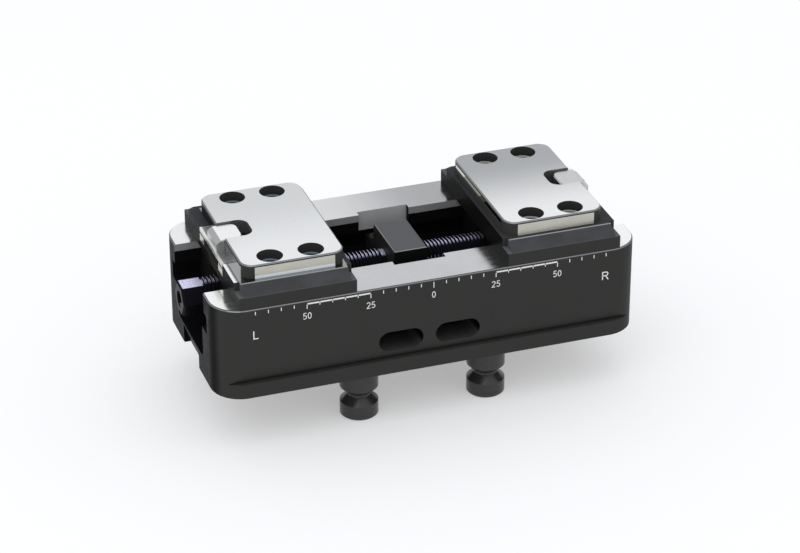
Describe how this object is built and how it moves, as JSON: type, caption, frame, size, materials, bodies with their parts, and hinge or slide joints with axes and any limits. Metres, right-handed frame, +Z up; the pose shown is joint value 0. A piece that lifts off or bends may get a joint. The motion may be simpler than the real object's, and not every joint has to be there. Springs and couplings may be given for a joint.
{
  "type": "self centering vise",
  "caption": "Low machine vise: a left and right hand spindle moves the jaw carriers to the middle of a slotted base on pull studs, with latched jaw plates.",
  "frame": {"origin": "centre of the underside of the base body, where it seats on a plate; the pull studs reach below it", "axes": "+X along the spindle to the right hand jaw, +Y across the jaws to the back, +Z up"},
  "size_m": [0.174, 0.077, 0.0739],
  "materials": {
    "body_steel": "black oxide with ground rail tops",
    "carrier_steel": "black oxide",
    "block_steel": "dark satin",
    "spindle_steel": "hardened, satin",
    "nut_bronze": "machined bronze",
    "ground_steel": "ground and brushed",
    "latch_steel": "satin",
    "stud_steel": "dark, polished cones",
    "fastener_steel": "plain steel"
  },
  "bodies": {
    "base": {"base_body": "body_steel", "bearing_block": "block_steel", "bearing_saddle": "block_steel", "thrust_ring": "spindle_steel", "bearing_screw_1": "fastener_steel", "bearing_screw_2": "fastener_steel", "bearing_screw_3": "fastener_steel", "bearing_screw_4": "fastener_steel", "pull_stud_1": "stud_steel", "pull_stud_2": "stud_steel", "pull_stud_3": "stud_steel", "pull_stud_4": "stud_steel"},
    "spindle": {"spindle": "spindle_steel"},
    "left_jaw": {"left_carrier": "carrier_steel", "left_nut": "nut_bronze", "left_nut_lock_screw": "fastener_steel", "left_jaw_plate": "ground_steel", "left_dowel_front": "fastener_steel", "left_dowel_back": "fastener_steel", "left_latch_spring": "fastener_steel", "left_latch_pin_front": "fastener_steel", "left_latch_pin_back": "fastener_steel"},
    "left_latch": {"left_latch": "latch_steel"},
    "right_jaw": {"right_carrier": "carrier_steel", "right_nut": "nut_bronze", "right_nut_lock_screw": "fastener_steel", "right_jaw_plate": "ground_steel", "right_dowel_front": "fastener_steel", "right_dowel_back": "fastener_steel", "right_latch_spring": "fastener_steel", "right_latch_pin_front": "fastener_steel", "right_latch_pin_back": "fastener_steel"},
    "right_latch": {"right_latch": "latch_steel"}
  },
  "joints": [
    {"name": "spindle_turn", "type": "hinge", "parent": "base", "child": "spindle", "pos_m": [0, 0, 0.0256], "axis": [1, 0, 0], "range_deg": [-2165, 6245]},
    {"name": "left_jaw_slide", "type": "slide", "parent": "base", "child": "left_jaw", "axis": [1, 0, 0], "range_m": [-0.009, 0.026]},
    {"name": "left_latch_slide", "type": "slide", "parent": "left_jaw", "child": "left_latch", "axis": [1, 0, 0], "range_m": [0, 0.003], "stiffness_N_per_m": 400, "springref_m": -0.003, "deforming": ["left_latch_spring"]},
    {"name": "right_jaw_slide", "type": "slide", "parent": "base", "child": "right_jaw", "axis": [-1, 0, 0], "range_m": [-0.009, 0.026]},
    {"name": "right_latch_slide", "type": "slide", "parent": "right_jaw", "child": "right_latch", "axis": [-1, 0, 0], "range_m": [0, 0.003], "stiffness_N_per_m": 400, "springref_m": -0.003, "deforming": ["right_latch_spring"]}
  ],
  "couplings": [
    {"joint": "spindle_turn", "follows": "left_jaw_slide", "rad_per_m": 4188.8},
    {"joint": "right_jaw_slide", "follows": "left_jaw_slide", "ratio": 1}
  ]
}
